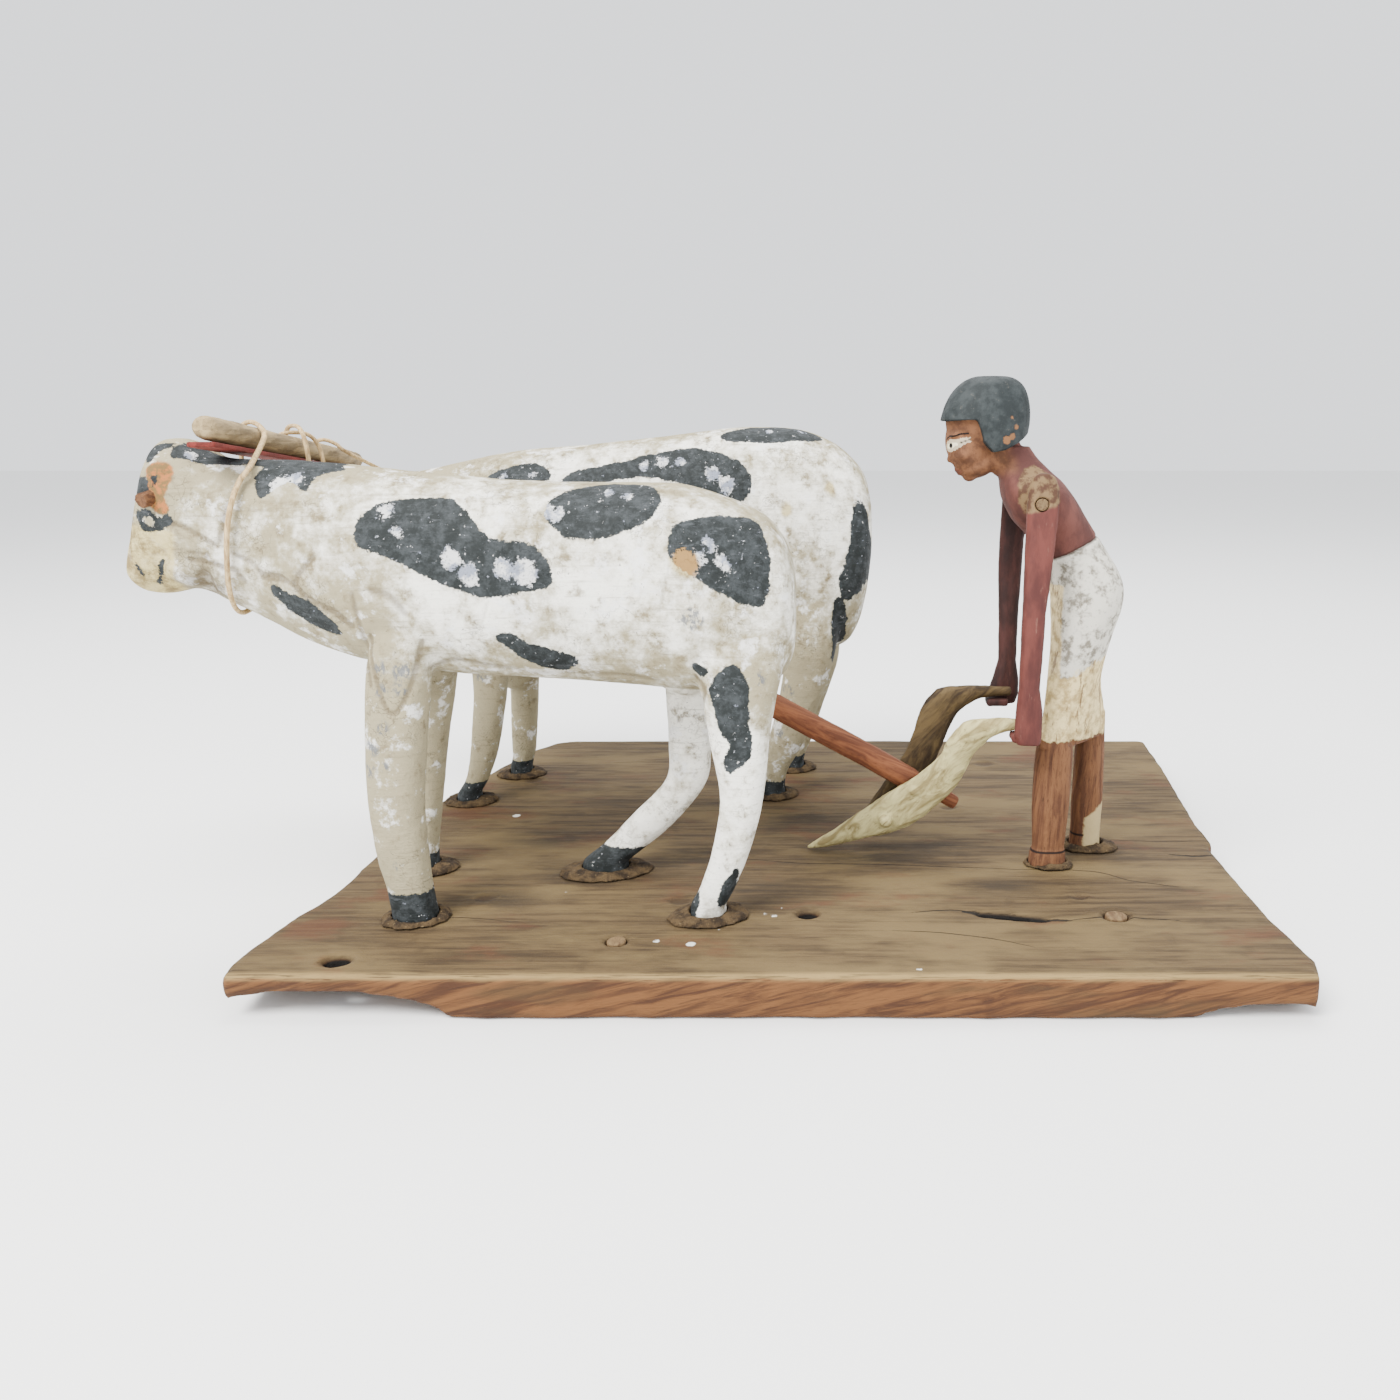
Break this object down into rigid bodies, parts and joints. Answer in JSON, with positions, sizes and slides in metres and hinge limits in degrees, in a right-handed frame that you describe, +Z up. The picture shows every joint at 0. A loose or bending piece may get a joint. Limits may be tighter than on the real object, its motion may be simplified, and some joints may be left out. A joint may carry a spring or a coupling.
{
  "type": "tomb model of a ploughman with two yoked oxen",
  "caption": "Painted wooden tomb model on a plank: yoked piebald oxen draw a beam plough that a standing ploughman steers by its stilts.",
  "frame": {"origin": "centre of the plank's underside", "axes": "+Z up from the plank, -X the way the oxen face, -Y towards the near ox"},
  "size_m": [0.555, 0.344, 0.2554],
  "materials": {
    "board_wood": "bare weathered plank, matt",
    "gesso": "carved wood under white gesso painted with matt black patches",
    "mud_plaster": "dry mud plaster, matt",
    "beam_wood": "red-brown painted stick, matt",
    "stilt_wood": "pale bare wood with brown mottling",
    "yoke_wood": "grey-brown bare stick",
    "red_paint": "red painted lath, matt",
    "skin_paint": "red-brown painted wood with a dark wig and a white gesso kilt",
    "peg_wood": "small bare wooden pegs",
    "rope": "twisted plant-fibre cord"
  },
  "bodies": {
    "root": {"base_board": "board_wood", "hole_plug_front": "peg_wood", "hole_plug_right": "peg_wood", "near_ox_body": "gesso", "far_ox_body": "gesso", "yoke_bar": "yoke_wood", "yoke_batten": "red_paint", "near_neck_rope": "rope", "far_neck_rope": "rope", "ploughman_body": "skin_paint", "near_shoulder_peg": "peg_wood", "far_shoulder_peg": "peg_wood", "ploughman_near_foot_plaster": "mud_plaster", "ploughman_far_foot_plaster": "mud_plaster", "near_ox_front_near_leg": "gesso", "near_ox_front_near_foot_plaster": "mud_plaster", "near_ox_front_far_leg": "gesso", "near_ox_front_far_foot_plaster": "mud_plaster", "near_ox_hind_near_leg": "gesso", "near_ox_hind_near_foot_plaster": "mud_plaster", "near_ox_hind_far_leg": "gesso", "near_ox_hind_far_foot_plaster": "mud_plaster", "near_ox_near_horn_peg": "peg_wood", "near_ox_far_horn_peg": "peg_wood", "far_ox_front_near_leg": "gesso", "far_ox_front_near_foot_plaster": "mud_plaster", "far_ox_front_far_leg": "gesso", "far_ox_front_far_foot_plaster": "mud_plaster", "far_ox_hind_near_leg": "gesso", "far_ox_hind_near_foot_plaster": "mud_plaster", "far_ox_hind_far_leg": "gesso", "far_ox_hind_far_foot_plaster": "mud_plaster", "far_ox_near_horn_peg": "peg_wood", "far_ox_far_horn_peg": "peg_wood"},
    "plough": {"plough_beam": "beam_wood", "near_plough_stilt": "stilt_wood", "far_plough_stilt": "stilt_wood", "stilt_cross_peg": "peg_wood", "sole_cross_peg": "peg_wood", "beam_lashing_inner": "rope", "beam_lashing_outer": "rope"},
    "near_arm": {"near_arm": "skin_paint"},
    "far_arm": {"far_arm": "skin_paint"}
  },
  "joints": [
    {"name": "plough_lift", "type": "hinge", "parent": "root", "child": "plough", "pos_m": [-0.2645, -0.0045, 0.22288], "axis": [0, -1, 0], "range_deg": [0, 6]},
    {"name": "near_arm_swing", "type": "hinge", "parent": "root", "child": "near_arm", "pos_m": [0.0985, -0.0665, 0.199], "axis": [0, -1, 0], "range_deg": [0, 30]},
    {"name": "far_arm_swing", "type": "hinge", "parent": "root", "child": "far_arm", "pos_m": [0.0985, -0.0215, 0.199], "axis": [0, -1, 0], "range_deg": [0, 30]}
  ]
}
